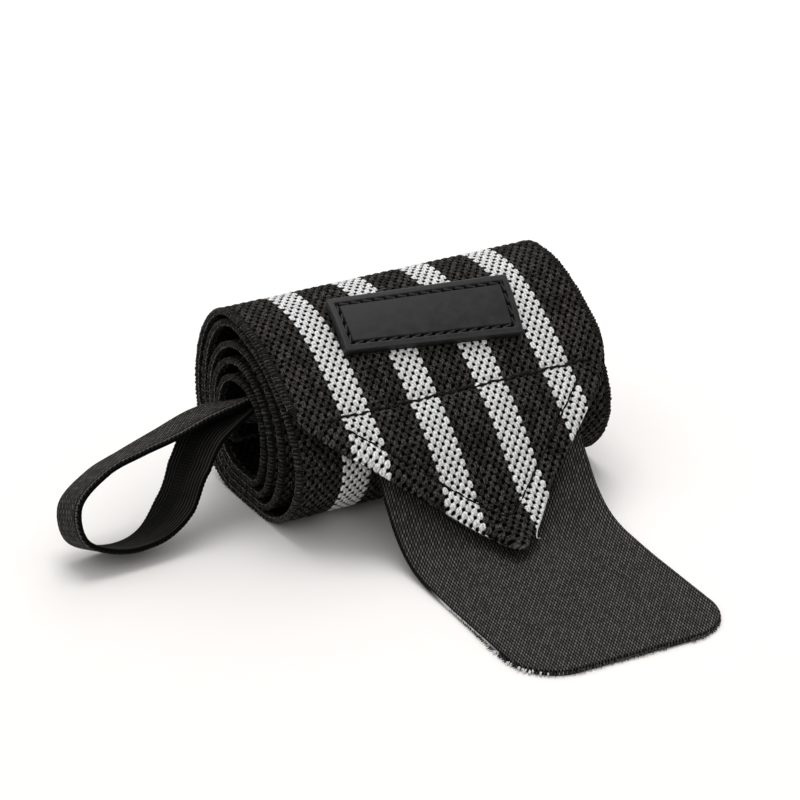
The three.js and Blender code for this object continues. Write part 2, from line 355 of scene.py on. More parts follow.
def makeKnitGroup():
    # each place belongs to its nearest grain, whose column tells stripe from ground, so the stripes' edges
    # run in zigzags; a grain's height is the root of one minus the squared distance from its middle, scaled
    # to an oval; the holes stand one column further, and they and the slits are 0 inside
    takes = [("Coords", "NodeSocketVector")]
    gives = ["Grain", "Hole", "Slit", "Stripe", "Tone", "Fibre", "Rib"]
    tree, given, out = newGroup("knitGrains", takes, gives)
    u, v, _ = splitVector(tree, given["Coords"])
    p, q, column, aside, ahead = nearestKnot(tree, u, v)
    chance = cellChance(tree, p, q)
    shift = splitVector(tree, chance["Color"])
    shift = [scaled(tree, shift[i], knit["jitter"], -knit["jitter"] / 2) for i in (0, 1)]
    ahead = maths(tree, "ADD", ahead, shift[0])
    aside = scaled(tree, ahead, -knit["lean"], maths(tree, "ADD", aside, shift[1]))
    inside = maths(tree, "SUBTRACT", 1.0, ovalDistance(tree, (aside, ahead), knit["grain"]))
    grain = maths(tree, "SQRT", maths(tree, "MAXIMUM", inside, 0.0))
    fromSlit = (scaled(tree, ahead, knit["slitLean"], aside), ahead)
    slit = [spread(tree, maths(tree, "ABSOLUTE", offset), dark, light)
            for offset, dark, light in zip(fromSlit, knit["slitMiddle"], knit["slit"])]
    beside = nearestKnot(tree, maths(tree, "ADD", u, 1.0), v)
    hole = spread(tree, ovalDistance(tree, beside[3:], knit["hole"]), *knit["holeEdge"])
    middle = (knit["stripeRepeat"] - 1) / 2
    turned = maths(tree, "ADD", column, middle - knit["stripeFirst"])
    within = maths(tree, "SUBTRACT", maths(tree, "FLOORED_MODULO", turned, knit["stripeRepeat"]), middle)
    near = maths(tree, "LESS_THAN", maths(tree, "ABSOLUTE", within), knit["stripeReach"])
    ground = maths(tree, "LESS_THAN", maths(tree, "ABSOLUTE", column), knit["stripeLimit"])
    drawn = put(tree, "ShaderNodeVectorMath", {0: given["Coords"], 1: knit["fibre"]}, operation="MULTIPLY")
    rib = maths(tree, "COSINE", times(tree, v, 2 * math.pi * knit["row"] / knit["rib"]))
    results = [grain, hole, maths(tree, "MAXIMUM", *slit), times(tree, near, ground), chance["Value"],
               noise(tree, drawn.outputs[0], 1.0, 2.0), scaled(tree, rib, 0.5, 0.5)]
    for name, result in zip(gives, results):
        tree.links.new(result, out[name])
    return tree


def makeWeaveGroup():
    # twill: one cosine in columns across and one along slanting lines, so that each crossing shows as a
    # slanted speck, a weak checkerboard under them, and a random tone for each crossing
    takes = [("Coords", "NodeSocketVector"), ("Across", "NodeSocketFloat"), ("Along", "NodeSocketFloat")]
    tree, given, out = newGroup("twillWeave", takes, ["Height", "Tone", "Fuzz"])
    x, s, _ = splitVector(tree, given["Coords"])
    u, v = times(tree, x, given["Across"]), times(tree, s, given["Along"])
    lines = [u, maths(tree, "ADD", v, u)]
    waves = [maths(tree, "COSINE", times(tree, line, 2 * math.pi)) for line in lines]
    board = [maths(tree, "COSINE", times(tree, line, math.pi)) for line in (u, v)]
    height = scaled(tree, times(tree, *board), 0.5, maths(tree, "ADD", *waves))
    tree.links.new(scaled(tree, height, 0.2, 0.5), out["Height"])
    chance = cellChance(tree, maths(tree, "ROUND", u), maths(tree, "ROUND", v))
    tree.links.new(chance["Value"], out["Tone"])
    tree.links.new(noise(tree, given["Coords"], 0.35, 5.0), out["Fuzz"])
    return tree


knitGroup = makeKnitGroup()
weaveGroup = makeWeaveGroup()


def yarnColour(tree, g, yarn):
    # a yarn's colour times the grain's height and holes, its chance tone, its fibres and its slit
    # painted shade: darker towards each grain's edges, in the slit and in the holes, where the dark core also
    # shows through the knit; the black yarn's grain ramp also paints a highlight on each grain's top
    tone = times(tree, scaled(tree, g["Tone"], *yarn["chance"]), spread(tree, g["Fibre"], *yarn["fibre"]))
    lit = times(tree, g["Hole"], spread(tree, g["Grain"], *yarn["grain"]), tone,
                scaled(tree, g["Slit"], *yarn["slit"]))
    return blendColour(tree, 1.0, yarn["colour"], lit, "MULTIPLY")


def makeElastic():
    # knit over the faces, and small ribs along the long edges, painted lighter on their crests and darker
    # between them as highlight and shade
    material, tree, surface = newMaterial("elasticKnit", 0.9, 0.03)
    coords = weaveCoords(tree)
    g = put(tree, "ShaderNodeGroup", {"Coords": coords}, node_tree=knitGroup).outputs
    depth = splitVector(tree, coords)[2]  # distance from the edge, below 0 on the inner face
    body = spread(tree, maths(tree, "ABSOLUTE", depth), 1.1, 1.9)
    yarn = blendColour(tree, g["Stripe"], yarnColour(tree, g, blackYarn), yarnColour(tree, g, whiteYarn))
    # painted shade over the inner face, for the shade inside the roll
    yarn = blendColour(tree, 1.0, yarn, spread(tree, depth, -2.4, -1.4, knit["innerFace"], 1.0), "MULTIPLY")
    ribRelief = times(tree, g["Rib"], scaled(tree, g["Fibre"], 2.0, -0.4))
    # painted highlight on the ribs' crests and painted shade between them
    ribs = blendColour(tree, ribRelief, grey(knit["ribDark"]), grey(knit["ribLight"], 0.05))
    tree.links.new(blendColour(tree, body, ribs, yarn), surface["Base Color"])
    bump = scaled(tree, g["Hole"], 0.4, scaled(tree, g["Fibre"], 0.35, g["Grain"]))
    bumpInto(tree, surface, blendValue(tree, body, times(tree, ribRelief, 0.7), bump), 0.0004, 0.8)
    return material


def makeEdgeYarn():
    # each loop's own lightness, broken up by fibres
    material, tree, surface = newMaterial("edgeYarn", 0.85, 0.05)
    fibre = spread(tree, noise(tree, objectPlace(tree), 2600.0, 2.0), 0.35, 0.65, 0.4, 1.5)
    tone = times(tree, splitVector(tree, weaveCoords(tree))[0], fibre)
    tree.links.new(blendColour(tree, tone, grey(0.003), grey(0.22, 0.05)), surface["Base Color"])
    return material


def makeThread():
    material, tree, surface = newMaterial("stitchThread", 0.7, 0.08)
    twist = noise(tree, objectPlace(tree), 2500.0, 1.0)
    tree.links.new(blendColour(tree, twist, grey(0.002), grey(0.008)), surface["Base Color"])
    return material


hookCloth = {
    "twill": {"Across": 1.39, "Along": 1.15},  # columns and rows to a millimetre
    "dark": 0.004,
    "light": 0.115,
    "edge": (0.1, 0.9, 0.45, 1.0),  # distances from the edge, and the shade at each
    "cutLight": 0.5,  # a pale cut shows on the left edge, from and to these lengths from the tab's root
    "cutFrom": (36.0, 44.0),
    "cutTo": (60.0, 67.0),
    "cutLeft": (-22.6, -21.0),
}


def makeHookTape():
    # specks of twill, darker along the edges; toEdge is below 0 round the edge itself, where the cut shows
    material, tree, surface = newMaterial("hookTape", 0.85, 0.05)
    coords = weaveCoords(tree)
    twill = {"Coords": coords, **hookCloth["twill"]}
    w = put(tree, "ShaderNodeGroup", twill, node_tree=weaveGroup).outputs
    x, along, toEdge = splitVector(tree, coords)
    tone = times(tree, scaled(tree, w["Tone"], 0.8, 0.55), scaled(tree, w["Fuzz"], 0.35, 0.83))
    speck = times(tree, spread(tree, w["Height"], 0.32, 0.95), tone)
    cloth = blendColour(tree, speck, grey(hookCloth["dark"]), grey(hookCloth["light"], 0.06))
    cloth = blendColour(tree, 1.0, cloth, spread(tree, toEdge, *hookCloth["edge"]), "MULTIPLY")
    cut = times(tree, spread(tree, toEdge, -1.0, -0.5), spread(tree, toEdge, -0.25, -0.05, 1.0, 0.0),
                spread(tree, x, *hookCloth["cutLeft"], 1.0, 0.0),
                spread(tree, along, *hookCloth["cutTo"], 1.0, 0.0),
                spread(tree, along, *hookCloth["cutFrom"]), scaled(tree, w["Fuzz"], 1.4, 0.2))
    tree.links.new(blendColour(tree, cut, cloth, grey(hookCloth["cutLight"])), surface["Base Color"])
    bumpInto(tree, surface, w["Height"], 0.0002, 0.7)
    return material


webbingCloth = {
    "twill": {"Across": 1.15, "Along": 0.95},
    "picks": (0.55, 0.66),  # pitch of the crosswise yarns over the cords and between them
    "dark": 0.0015,
    "light": 0.125,
    "innerFace": 0.24,  # painted shade: the inner face is darkened to this share of the outer face's lightness
}


def makeWebbing():
    # outer face: specks of twill; inner face: cords along both edges and ribs across the middle, darkened as
    # painted shade
    material, tree, surface = newMaterial("loopWebbing", 0.8, 0.06)
    coords = weaveCoords(tree)
    twill = {"Coords": coords, **webbingCloth["twill"]}
    w = put(tree, "ShaderNodeGroup", twill, node_tree=weaveGroup).outputs
    across, along, face = splitVector(tree, coords)  # face: outer above 0, inner below
    lift = maths(tree, "ABSOLUTE", face)  # 0.5 on level cloth, 1 on a cord, 0 in a groove
    outer = spread(tree, face, -0.05, 0.05)
    phases = [times(tree, along, 2 * math.pi / pitch) for pitch in webbingCloth["picks"]]
    waves = [maths(tree, "COSINE", phase) for phase in phases]
    onCord, onRib = (scaled(tree, wave, 0.5, 0.5) for wave in waves)
    speck = times(tree, spread(tree, w["Height"], 0.35, 0.85, 0.0, 1.4), scaled(tree, w["Tone"], 1.1, 0.5))
    ridged = blendValue(tree, spread(tree, lift, 0.52, 0.7), speck, onCord)
    edges = [spread(tree, across, 2.0, 3.3), spread(tree, across, -1.6, 0.2, 1.0, 0.0)]
    nearEdge = maths(tree, "MAXIMUM", *edges)
    corded = blendValue(tree, nearEdge, scaled(tree, onRib, 0.6, 0.3), scaled(tree, onCord, 0.3, 0.7))
    corded = times(tree, corded, scaled(tree, w["Fuzz"], 1.2, 0.4))
    grain = blendValue(tree, outer, corded, ridged)
    # painted shade in the groove and between the cords, and painted highlight on the cords and the ridge,
    # following the relief's lift
    reliefLight = times(tree, spread(tree, lift, 0.18, 0.9), grain)
    cloth = blendColour(tree, reliefLight, grey(webbingCloth["dark"]), grey(webbingCloth["light"], 0.07))
    # painted shade over the whole inner face
    shade = blendValue(tree, outer, webbingCloth["innerFace"], 1.0)
    tree.links.new(blendColour(tree, 1.0, cloth, shade, "MULTIPLY"), surface["Base Color"])
    bumpInto(tree, surface, grain, 0.0001, 0.7)
    return material


rubber = {
    "clouds": (0.008, 0.0195),  # darkest and lightest of the cloudy skin
    "roughness": (0.52, 0.66),
    "paintedHighlight": 0.035,  # painted highlight on the frame's edges and on the stitches
    # painted shade: the groove is drawn near black
    "groove": 0.001,
}


def makeRubber():
    # cloudy black; near black and less glossy in the groove as painted shade, and lighter on the frame's
    # edges and the stitches as painted highlight
    material, tree, surface = newMaterial("patchRubber")
    place = objectPlace(tree)
    skin, cloud = noise(tree, place, 1500.0, 3.0), noise(tree, place, 420.0, 5.0)
    # dark is the groove's painted shade, light the painted highlight on edges and stitches
    dark, light, _ = splitVector(tree, weaveCoords(tree))
    skinTone = blendColour(tree, spread(tree, cloud, 0.3, 0.7), *map(grey, rubber["clouds"]))
    skinTone = blendColour(tree, light, skinTone, grey(rubber["paintedHighlight"]))
    tree.links.new(blendColour(tree, dark, skinTone, grey(rubber["groove"])), surface["Base Color"])
    tree.links.new(spread(tree, cloud, 0.25, 0.75, *rubber["roughness"]), surface["Roughness"])
    tree.links.new(scaled(tree, dark, -0.24, 0.25), surface["Specular IOR Level"])
    bumpInto(tree, surface, skin, 0.00005, 0.7)
    return material


def makeBristle():
    # each tube's lightness, painted glints on the hooks and the yarn's own on the loose thread, broken up by
    # a noise of painted glints
    material, tree, surface = newMaterial("hookBristle", 0.4)
    glint = scaled(tree, noise(tree, objectPlace(tree), 900.0, 2.0), 1.2, 0.3)
    light = times(tree, splitVector(tree, weaveCoords(tree))[0], glint)
    tree.links.new(blendColour(tree, light, grey(0.008), grey(0.7)), surface["Base Color"])
    return material


elasticKnit = makeElastic()
edgeYarn = makeEdgeYarn()
stitchThread = makeThread()
hookTape = makeHookTape()
loopWebbing = makeWebbing()
patchRubber = makeRubber()
hookBristle = makeBristle()
print("materials made")

# Elastic band
band = {
    "width": 76.0,
    "thickness": 1.2,
    "edge": 0.82,  # the selvedge's rounding across the band
    "selvedge": (1.2, 2.0),  # the knit's relief starts between these distances from the long edges,
    "selvedgeFrom": (38, 43),  # and at the folds' very edge before this length along the band
    "pointRadius": 2.0,
    "foldRounding": 9.0,  # the long edges run into the folds over this length
    "foldedEdge": 0.5,  # the folds' extra rounding
    "foldRamp": 2.0,  # the second layer runs out over this length
    "foldThins": (0.5, 6.0),  # the folded corners' second layer thins out this far from the fold
    "foldWrap": 0.75,  # share of the fold's rounding over which the knit runs on
    "foldIn": (1.5, 1.2),  # the left and right folds are drawn in by this much halfway along,
    "foldInFrom": ((2, 14), (3, 17)),  # coming in over these lengths
    "foldInTo": (26, 39),  # and going out over this one
    "split": 195.0,  # the band is two meshes, and they meet out of sight between its layers
    "seam": 38.4,
    "seamEnds": (-33, 34),
    "seamDepth": 0.45,
    "seamWidth": 1.0,
    "sewnRamp": 3,  # the sewn shapes fade out over this length at their ends
    "stitchLeft": 8.2,  # the topstitching runs this far up the band from each folded edge
    "stitchRight": 6.8,
    "stitchDepth": 0.4,
    "stitchWidth": 0.9,
    "stitchTurn": 2.0,  # rounding of its corner under the tip
    "puff": 0.32,  # the border between topstitching and fold stands up by this much
    "puffRamp": (0.3, 2.2),
    "borderDraw": 0.06,  # share by which its rows are drawn longer
    "borderLean": 0.18,  # and by which its columns lean outwards on the left
    "tipLength": 6,  # over this length the tip moves to the left of the band's middle, widens and reaches out
    "tipAside": -1.2,
    "tipWider": 0.4,
    "tipOut": 0.8,
    "tipThins": 1.5,  # the tip thins to nothing over this length
    "rowStep": (0.3, 0.6),  # rows of the outer mesh, where it shows well and further up
    "fineTo": 76,
    # y and z from the tip to the roll's top
    "freeEnd": [(-50.6, 4.2), (-47.6, 4.6), (-43.8, 6.0), (-39.4, 9.0), (-34.8, 13.9), (-28.2, 21.3),
                (-20.3, 28.1), (-12.2, 34.2), (-6.0, 37.9), (0.6, 40.5), (5.2, 41.2), (9.0, 41.3)],
    "bottomToFront": 1.9,  # fullness of each turn's bend from bottom to front, 2 for a true ellipse
    "innerEnd": 0.9,  # the band's inner end lies at this share of the last bend
}
# each turn, outermost first: front (y, z), shoulder fullness, top (y, z), back (y, z), bottom z, and the back
# and front ends of its level stretch
turns = [
    (None, 0, (9.0, 41.3), (24.8, 19.0), 0.6, 9, -5),
    ((-21.3, 16.5), 1.72, (7.5, 39.4), (21.7, 19.5), 2.4, 8, -4),
    ((-13.7, 17.0), 2.0, (4.5, 35.3), (19.3, 19.5), 4.2, 7, -2),
    ((-9.0, 16.5), 1.98, (5.0, 31.4), (17.2, 19.0), 6.0, 6, 0),
    ((-5.5, 16.0), 2.35, (5.5, 27.5), (15.1, 18.5), 12.4, 6, 0),
]


def bend(start, end, leavesLevel, power, share=1.0):
    # a quarter of a flattened ellipse: sine and cosine of the angle, to the power of two over the fullness
    angle = np.linspace(0, share, 44)[1:] * math.pi / 2
    rise = np.sin(angle) ** (2 / power)
    rest = np.cos(angle).clip(0) ** (2 / power)
    if leavesLevel:
        return np.stack([start[0] + (end[0] - start[0]) * rise, end[1] + (start[1] - end[1]) * rest], 1)
    return np.stack([end[0] + (start[0] - end[0]) * rest, start[1] + (end[1] - start[1]) * rise], 1)


def bandLine():
    # the band's middle line in a section across the roll: the free end, then each turn's four bends
    parts = [smoothLine(np.array(band["freeEnd"]), np.linspace(0, 1, 400))]
    leave = None
    for number, (front, shoulder, top, back, bottom, flatBack, flatFront) in enumerate(turns):
        if front:
            parts += [np.array([leave]), bend(leave, front, True, band["bottomToFront"])]
            parts.append(bend(front, top, False, shoulder))
        share = band["innerEnd"] if number == len(turns) - 1 else 1.0
        parts += [bend(top, back, True, 2.0), bend(back, (flatBack, bottom), False, 2.0, share)]
        leave = (flatFront, bottom)
    line = np.concatenate(parts)
    s = lengthAlong(line)
    even = np.arange(0, s[-1], 0.2)
    return even, np.stack([np.interp(even, s, line[:, i]) for i in (0, 1)], 1)


lineS, linePoints = bandLine()
linePoints = softened(linePoints, 3)
lineForward = unit(softened(np.gradient(linePoints, lineS, axis=0), 3))
bandLength = float(lineS[-1])
halfWidth = band["width"] / 2
layer = band["thickness"] / 2
tipToCentre = band["pointRadius"] * math.sqrt(2)
print("band length", round(bandLength, 1), "mm")


def onBand(x, s, out):
    # the place at x across the band and s along it, lifted by out along the middle line's outer normal
    y, z, fy, fz = (np.interp(s, lineS, table) for table in (*linePoints.T, *lineForward.T))
    before = np.minimum(s, 0)  # straight on beyond the tip
    return np.stack(np.broadcast_arrays(x, y + fy * before - fz * out, z + fz * before + fy * out), -1)


def halfWidthAt(s):
    # the point: its sides leave the rounded tip at 45 degrees and blend into the long edges
    fromSharp = s + tipToCentre - band["pointRadius"]
    rounded = np.sqrt(np.clip(band["pointRadius"] ** 2 - (tipToCentre - fromSharp) ** 2, 0, None))
    blend = np.clip(band["foldRounding"] - np.abs(fromSharp - halfWidth), 0, None)
    straight = np.minimum(fromSharp, halfWidth) - blend**2 / (4 * band["foldRounding"])
    return np.where(fromSharp < tipToCentre - band["pointRadius"] / math.sqrt(2), rounded, straight)


def beforeSeam(s):
    # 1 from the tip on, fading to 0 at the seam
    return fade(-s, -band["seam"], -band["seam"] + band["sewnRamp"])


def stitchLine(x, s):
    # how far up the band a place lies from the topstitching, which follows the folded edges
    offset = band["stitchRight"] + (band["stitchLeft"] - band["stitchRight"]) * fade(-x, -3, 3)
    return s - np.sqrt(x**2 + band["stitchTurn"] ** 2) - offset


def sewnShape(x, s):
    # bell-shaped grooves that the seam and the topstitching pull into the band, and the puffed border
    left, right = band["seamEnds"]
    within = fade(x, left, left + band["sewnRamp"]) * fade(-x, -right, -right + band["sewnRamp"])
    seam = -band["seamDepth"] * bell(s - band["seam"], band["seamWidth"]) * within
    line = stitchLine(x, s)
    groove = -band["stitchDepth"] * bell(line, band["stitchWidth"]) * beforeSeam(s)
    puff = band["puff"] * fade(-line, *band["puffRamp"]) * beforeSeam(s)
    return seam + groove + puff


def knitPlace(x, s):
    # columns across and rows along; the puffed border's rows are drawn longer and lean along the fold
    border = np.clip(-stitchLine(x, s), 0, None) * beforeSeam(s)
    lean = band["borderLean"] * border * fade(-x, 0, 4)
    return (x + lean) / knit["column"] + 0.5, (s + band["borderDraw"] * border) / knit["row"]


def grainHeight(x, s):
    # relief of the knit: the root of one minus the squared distance from the nearest grain's middle
    u, v = knitPlace(x, s)
    p, q = np.round((u + v) / 2), np.round((u - v) / 2)
    ahead = v - p + q
    far = ((u - p - q - knit["lean"] * ahead) / knit["grain"][0]) ** 2 + (ahead / knit["grain"][1]) ** 2
    return np.sqrt(np.clip(1 - far, 0, None))


def bandPart(rows, face, innerFace, sides=13):
    # closed sections across the band; the knit's place across it runs on round each edge by arc length, as it
    # does round a fold
    angle, flat, bulge, rise = stripSection(face, innerFace, sides)
    over = np.concatenate([np.abs(face), np.ones(sides), 2 - np.abs(innerFace[::-1]), np.ones(sides)])
    arc = np.concatenate([0 * face, angle, 0 * innerFace + math.pi, math.pi - angle])
    s = rows[:, None]
    toTip = fade(-s, -band["tipLength"], 0)
    aside = band["tipAside"] * toTip
    half = halfWidthAt(s) + band["tipWider"] * toTip * fade(s, 0, 2)
    drawnIn = [much * fade(s, *ramp) for much, ramp in zip(band["foldIn"], band["foldInFrom"])]
    half = half - np.where(flat < 0, *drawnIn) * fade(-s, -band["foldInTo"][1], -band["foldInTo"][0])
    folded = np.clip((halfWidth - s) / band["foldRamp"], 0, 1)
    edge = np.minimum(band["edge"] + folded * band["foldedEdge"], half * 0.6)
    x = flat * (half - edge) + bulge * edge
    toEdge = half - np.abs(x)
    x = x + aside
    wrap = 1 + (band["foldWrap"] - 1) * folded
    knitX = aside + np.where(flat < 0, -1, 1) * ((half - edge) * over + edge * wrap * arc)
    below = layer + folded * band["thickness"] * fade(toEdge, *band["foldThins"])
    middle, thick = (layer - below) / 2, (layer + below) / 2
    thick = thick * np.sqrt(np.clip(s / band["tipThins"], 0, 1))
    s = s - band["tipOut"] * toTip
    woven = toEdge + 3 * (1 - fade(s, *band["selvedgeFrom"]))
    relief = knit["relief"] * (grainHeight(knitX, s) - 0.7) * fade(woven, *band["selvedge"])
    relief = relief * fade(rise, -0.9, -0.2)
    sewn = sewnShape(x, s) * np.clip(rise, 0, 1) * fade(toEdge, 0, 2.5)
    points = onBand(x + relief * bulge, s + 0 * x, middle + thick * rise + relief * rise + sewn)
    coords = np.stack([*knitPlace(knitX, s + 0 * x), np.where(rise >= 0, woven, -woven)], -1)
    return points, coords


def makeBand():
    # rows along the band are close together at the tip, and columns at the edges
    tip = np.array([0, 0.02, 0.06, 0.12, 0.2, 0.35, 0.55, 0.8, 1.1, 1.5])
    fine, coarse = band["rowStep"]
    rows = np.concatenate([tip, np.arange(1.8, band["fineTo"], fine),
                           np.arange(band["fineTo"] + 0.2, band["split"] + 0.1, coarse)])
    points, coords = bandPart(rows, np.arange(-79, 80) / 79, np.linspace(-1, 1, 13))
    outer = addLoft("band_outer", points, coords, elasticKnit, closed=[1], merge=True)
    near = 1 - np.array([0, 0.35, 0.8, 1.4, 2.2, 3.4, 6.0]) / halfWidth
    columns = np.concatenate([-near, [-0.4, 0, 0.4], near[::-1]])
    points, coords = bandPart(np.arange(band["split"], bandLength, fine), columns, columns)
    inner = addLoft("band_inner", points, coords, elasticKnit)
    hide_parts("elastic_band")
    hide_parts("elastic_band")
    return outer, inner


bandOuter, bandInner = makeBand()

# Sewing threads of the band
thread = {
    "seamRadius": 0.31,
    "pointRadius": 0.23,
    "seamEnds": (-31, 32),
    "pointEnds": (-27.5, 29),
    "stitch": 2.6,
    "sink": 0.12,
    "rise": 0.22,  # a stitch's middle stands this much over its ends
    "sides": 6,
}


def sewnThread(name, x, s, radius):
    # a round section along a line of stitches, thinner and lower where it dives into the knit
    wave = np.abs(np.sin(math.pi * lengthAlong(np.stack([x, s], 1)) / thread["stitch"])) ** 0.5
    height = layer + sewnShape(x, s) - thread["sink"] + thread["rise"] * wave
    path = onBand(x, s, height)
    normal = onBand(x, s, height + 1) - path
    points = tube(path, normal, radius * (0.55 + 0.45 * wave), thread["sides"])
    return addLoft(name, points, None, stitchThread)


def makeThreads():
    # both lines wander a little; the topstitching lies where stitchLine is 0
    x = np.linspace(*thread["seamEnds"], 500)
    drift = 0.15 * np.sin(x * 0.9) + 0.1 * np.sin(x * 2.3 + 1)
    seam = sewnThread("seam_thread", x, band["seam"] + drift, thread["seamRadius"])
    x = np.linspace(*thread["pointEnds"], 460)
    line = 0.1 * np.sin(x * 2.1) - stitchLine(x, 0)
    return [seam, sewnThread("point_topstitch", x, line, thread["pointRadius"])]


bandThreads = makeThreads()

# Small yarn loops round the band's long edges, and one yarn along the inner side of each edge
edgeLoops = {
    "start": 43.0,
    "pitch": 0.86,
    "radius": 0.27,
    "slant": 0.6,
    "steps": 7,
    "sides": 5,
    # ranges of chance: along the edge, shares of the reach round it, of slant and of radius, and lightness
    "jitter": (-0.16, 0.16),
    "reaches": (0.86, 1.08),
    "slants": (0.2, 1.5),
    "radii": (0.75, 1.2),
    "tones": (0.1, 0.2),
    "chainRadius": 0.13,
    # painted highlight: the chain's pale tone stands for the light the rounded edge catches
    "chainTone": 0.7,
    "chainStep": 0.6,
}


def makeEdgeLoops():
    # each loop is a short tube bent round the edge: x follows the sine and the height the cosine of an angle
    # that goes from the outer face over the edge to the inner face
    row = np.arange(edgeLoops["start"], bandLength - 1, edgeLoops["pitch"])
    s = np.concatenate([row, row + edgeLoops["pitch"] / 2])
    side = np.concatenate([0 * row - 1, 0 * row + 1])[:, None]
    s = (s + random.uniform(*edgeLoops["jitter"], len(s)))[:, None]
    reach = random.uniform(*edgeLoops["reaches"], len(s))[:, None]
    t = np.linspace(0, 1, edgeLoops["steps"])
    angle = (-0.12 + 1.24 * t) * math.pi
    place = s + edgeLoops["slant"] * random.uniform(*edgeLoops["slants"], len(s))[:, None] * (t - 0.5)
    edge = band["edge"]
    x = side * (halfWidthAt(s) - edge + edge * reach * np.sin(angle))
    path = onBand(x, place, layer * reach * np.cos(angle))
    radius = edgeLoops["radius"] * random.uniform(*edgeLoops["radii"], len(s))[:, None]
    radius = radius * (0.55 + 0.45 * np.sin(math.pi * t))
    forward = onBand(0 * x, place + 0.1, 0) - onBand(0 * x, place, 0)
    tone = random.uniform(*edgeLoops["tones"], len(s))
    return addTubes("edge_loops", path, forward, radius, edgeLoops["sides"], tone, edgeYarn)


def makeEdgeChain():
    # one thin tube for each edge, wandering and swelling by sines of the place along the band; the yarn is
    # real, and its pale tone is a painted highlight along the edge
    s = np.tile(np.arange(edgeLoops["start"], bandLength - 1, edgeLoops["chainStep"]), (2, 1))
    drift = 0.08 * np.sin(s * 2.1) + 0.05 * np.sin(s * 5.3)
    edge = band["edge"]
    x = np.array([[-1], [1]]) * (halfWidth - edge + 0.62 * edge + drift)
    path = onBand(x, s, -layer * 0.85 + 0 * s)
    radius = edgeLoops["chainRadius"] * (0.8 + 0.2 * np.sin(s * 4.4))
    sides, tone = edgeLoops["sides"], edgeLoops["chainTone"]
    return addTubes("edge_chain", path, [1.0, 0.0, 0.0], radius, sides, tone, edgeYarn)


bandThreads += [makeEdgeLoops(), makeEdgeChain()]

# A frayed end of light yarn that hangs from the point beside its last stripe
looseThread = {
    # x, along the band, off the band
    "rows": [(5.0, 4.5, 0.4), (4.4, 3.5, 0.15), (3.8, 2.6, 0.3), (3.5, 1.9, 0.1), (3.9, 1.2, 0.3)],
    "radius": (0.16, 0.07),
    "tone": 0.85,
    "steps": 14,
    "sides": 5,
}


def makeLooseThread():
    # a tube along a smooth line, thinner towards its end
    steps, sides, tone = looseThread["steps"], looseThread["sides"], looseThread["tone"]
    x, s, out = smoothLine(np.array(looseThread["rows"]), np.linspace(0, 1, steps)).T
    path = onBand(x, s, out)[None]
    radius = np.linspace(*looseThread["radius"], steps)[None]
    return addTubes("loose_thread", path, [0.0, 0.0, 1.0], radius, sides, tone, hookBristle)


bandThreads.append(makeLooseThread())

# Hook tab
tab = {
    "width": 48.5,
    "thickness": 1.2,
    "corner": 11.0,
    "rootX": 1.2,
    "endX": -0.8,
    "edge": 0.35,
    # y and z from the root under the point to the end
    "rows": [(-23.6, 21.5), (-26.4, 18.9), (-30.0, 15.0), (-33.6, 10.6), (-37.6, 6.2), (-42.6, 2.9),
             (-48.0, 1.35), (-54.0, 0.9), (-61.0, 0.62), (-66.0, 0.6), (-72.0, 0.6), (-94.8, 0.6)],
}
tabLine = smoothLine(np.array(tab["rows"]), np.linspace(0, 1, 600))
tabLine[:, 1] = tabLine[:, 1].clip(tab["thickness"] / 2)
tabS = lengthAlong(tabLine)
tabForward = unit(np.gradient(tabLine, tabS, axis=0))
tabLength = float(tabS[-1])


def onTab(x, s, out):
    # the place at x across the tab and s along it from its root, lifted by out along its upper normal
    y, z, fy, fz = (np.interp(s, tabS, table) for table in (*tabLine.T, *tabForward.T))
    middle = tab["rootX"] + (tab["endX"] - tab["rootX"]) * s / tabLength
    return np.stack(np.broadcast_arrays(middle + x, y + fz * out, z - fy * out), -1)


def tabHalfAt(s):
    # half the tab's width, less the quarter circle that rounds its corners near the end
    toEnd = np.clip(tab["corner"] - (tabLength - s), 0, tab["corner"])
    return tab["width"] / 2 - tab["corner"] + np.sqrt(tab["corner"] ** 2 - toEnd**2)


def makeTab():
    # closed sections across the tab, half round at the edges, thinning to nothing at its cut end
    quarter = np.linspace(0, math.pi / 2, 26)
    rows = np.concatenate([np.arange(0, tabLength - tab["corner"], 0.8),
                           tabLength - tab["edge"] - (tab["corner"] - tab["edge"]) * (1 - np.sin(quarter)),
                           tabLength - tab["edge"] * (1 - np.sin(quarter[4::4]))])
    face = np.linspace(-1, 1, 61)
    _, flat, bulge, rise = stripSection(face, face, 5)
    s = rows[:, None]
    half = tabHalfAt(s)
    left = np.clip((s - tabLength + tab["edge"]) / tab["edge"], 0, 1)
    out = tab["thickness"] / 2 * np.sqrt(1 - left**2) * rise
    x = flat * (half - tab["edge"]) + bulge * tab["edge"]
    points = onTab(x, s + 0 * x, out)
    inset = np.minimum(half - np.abs(x), tabLength - s + 0 * x)
    toEdge = np.where(rise > 0.6, inset, -0.3 - 0.2 * (rise < 0.3))  # below 0 round the edge and underneath
    coords = np.stack([x, s + 0 * x, toEdge], -1)
    piece = addLoft("hook_tab_cloth", points, coords, hookTape, closed=[0], merge=True)
    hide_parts("hook_tab")
    return piece


tabCloth = makeTab()

# Hooks that show along the tab's cut end
fringe = {
    "pitch": 0.75,
    "reach": 0.85,
    "radius": 0.14,
    "sides": 5,
    "steps": 8,
    "grows": (34, 14),  # on the left side the hooks grow to full length between these distances from the end
    "glintRamp": (22, 13),  # and are drawn pale between these, as painted glints
    "darkShare": 0.45,
    "endGlint": 0.08,
    # ranges of chance: shares of the reach, sideways lean and drop of a hook's end
    "reaches": (0.2, 1.0),
    "leans": (-0.5, 0.5),
    "drops": (-0.3, 0.1),
}


